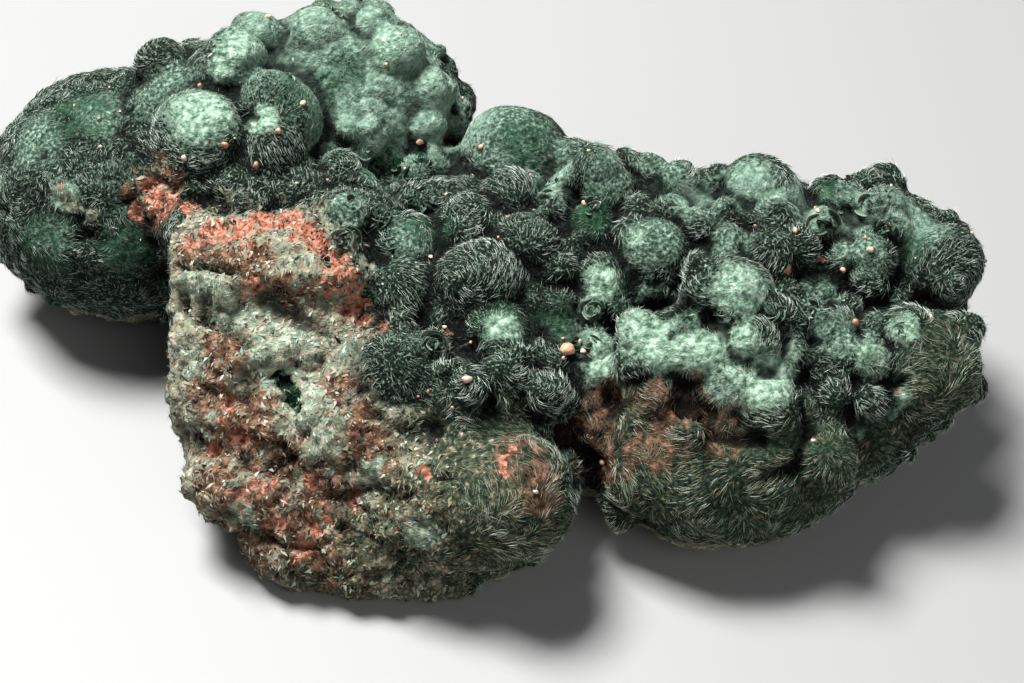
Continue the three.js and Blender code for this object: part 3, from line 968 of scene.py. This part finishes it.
def sand(stone, material):
    """Loose grains of sand on the crust."""
    points, triangles = stone["points"], stone["triangles"]
    tree = BVHTree.FromPolygons(points.tolist(), triangles.tolist())
    shown = seated(tree, SHOWN_GRAINS, -0.4)
    upper = np.clip(stone["normals"][:, 2], 0, 1) * (1 - 0.6 * stone["masks"]["rock"])
    places, normals, _ = scattered(points, triangles, SEEDED_GRAINS, upper)
    radii = RNG.uniform(*SEEDED_GRAIN_RADII, SEEDED_GRAINS)
    seeded = np.column_stack([places + normals * radii[:, None] * 0.4, radii])
    ball_points, ball_faces = unit_ball(2)
    parts, tints = [], []
    for x, y, z, radius in np.concatenate([shown, seeded]):
        bumps = 1 + 0.5 * noise_at(ball_points + (x, y, z), 1.1)[:, None]
        squash = RNG.uniform(0.6, 1.15, 3)
        parts.append((ball_points * bumps * squash * radius + (x, y, z), ball_faces))
        tints.append(np.full(len(ball_points), 0.3 if radius > LARGE_GRAIN else RNG.random()))
    obj = piece("sand_grains", *joined(parts), material, True)
    add_attribute(obj, "tint", np.concatenate(tints))
    return obj


def shaped_stone():
    """The stone's skin, its masks and its balls."""
    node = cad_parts["atacamite_specimen"]
    solid = points_of(node.data) / MM
    tree = BVHTree.FromPolygons(solid.tolist(), triangles_of(node.data).tolist())
    mass = smoothed_mass(node)
    spots = {name: seated(tree, marks, 0) for name, marks in MARKS.items()}
    shown = [seated(tree, SOLID_BALLS, SOLID_DEPTH), seated(tree, SMALL_BALLS, SMALL_DEPTH)]
    rock_and_room = spots["rock"] * (1, 1, 1, ROCK_CLEARANCE)
    kept_clear = np.concatenate([rock_and_room, spots["olive"], seated(tree, SMOOTH, 0), shown[0]])
    balls = np.concatenate([*shown, seeded_balls(mass, kept_clear)])
    points, triangles = body_mesh(mass, balls)
    points = blurred(points, triangles, 1)
    points = sharpened(points, triangles, 20, 0.6, 0.2)
    nearest, gap = nearest_balls(points, balls)
    masks = masks_of(points, vertex_normals(points, triangles), spots)
    points = roughened(points, triangles, masks, groove_points(tree), gap, balls[nearest, 3])
    points = sharpened(points, triangles, 6, 0.5, 0.2)
    low, high = (np.array(corner) / MM for corner in cad_box)
    points = np.clip(points, low, high)
    tone = RNG.uniform(-1, 1, len(balls))[nearest]
    # The painted shade of the hollows, made weaker on the rock and the orange.
    hollow_shade = hollowness(points, triangles, HOLLOW_ROUNDS, HOLLOW_DEPTH)
    hollow_shade *= (1 - 0.4 * masks["rock"]) * (1 - 0.8 * masks["orange"])
    return {
        "points": points,
        "triangles": triangles,
        "normals": vertex_normals(points, triangles),
        "masks": masks,
        "hollow_shade": hollow_shade,
        "patch": noise_at(points, 1.8, 3) + 0.6 * tone * smooth_step(1.0, 0.3, gap),
        "balls": balls,
        "nearest": nearest,
        "gap": gap,
    }


def build_stone():
    stone = shaped_stone()
    body = piece("stone", stone["points"], stone["triangles"], stone_material(), True)
    for name, mask in stone["masks"].items():
        add_attribute(body, name, mask)
    # The hollows' painted shade, which the stone's material reads.
    add_attribute(body, "hollow_shade", stone["hollow_shade"] / 2 + 0.5)
    fibre_material = stroke_material("fibres", 0.4, 0.04)
    flake_material = stroke_material("flakes", 0.35, 0.0)
    made = fibres(stone, fibre_material)
    made.append(plates(stone, fibre_material))
    made.append(flakes(stone, flake_material))
    made.append(sand(stone, grain_material()))
    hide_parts("atacamite_specimen")
    for obj in [body, *made]:
        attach(obj, "root")


# The floor, the lights and the camera.
FLOOR_HALF = 3.0  # m


def floor():
    reach = FLOOR_HALF
    corners = np.array([[-reach, -reach, 0], [reach, -reach, 0], [reach, reach, 0], [-reach, reach, 0]])
    mesh = new_mesh("floor", corners, np.array([[0, 1, 2], [0, 2, 3]]))
    material, _, shader = new_material("floor", 0.6)
    shader.inputs["Base Color"].default_value = (0.22, 0.22, 0.217, 1)
    mesh.materials.append(material)
    add_object("floor", mesh)


def area_light(name, place, size, power):
    light = bpy.data.lights.new(name, "AREA")
    light.size = size
    light.energy = power
    obj = add_object(name, light)
    obj.location = place
    obj.rotation_euler = (Vector((0, 0, 0.01)) - Vector(place)).to_track_quat("-Z", "Y").to_euler()


def lights():
    area_light("key", (-0.15, 0.12, 0.48), 0.18, 9.5)
    area_light("front", (0.34, -0.5, 0.42), 0.5, 2.2)
    world = bpy.data.worlds.new("world")
    world.use_nodes = True
    background = world.node_tree.nodes["Background"]
    background.inputs["Color"].default_value = (0.85, 0.9, 0.95, 1)
    background.inputs["Strength"].default_value = 0.11
    bpy.context.scene.world = world


def camera():
    data = bpy.data.cameras.new("camera")
    data.sensor_width = SENSOR
    data.lens = PHOTO_FOCAL * SENSOR / PHOTO_SIZE[0]
    data.clip_start = 0.01
    obj = add_object("camera", data)
    obj.location = EYE * MM
    obj.rotation_euler = Vector(FORWARD).to_track_quat("-Z", "Y").to_euler()
    bpy.context.scene.camera = obj


build_stone()
floor()
lights()
camera()
bpy.context.scene.view_settings.view_transform = "Standard"
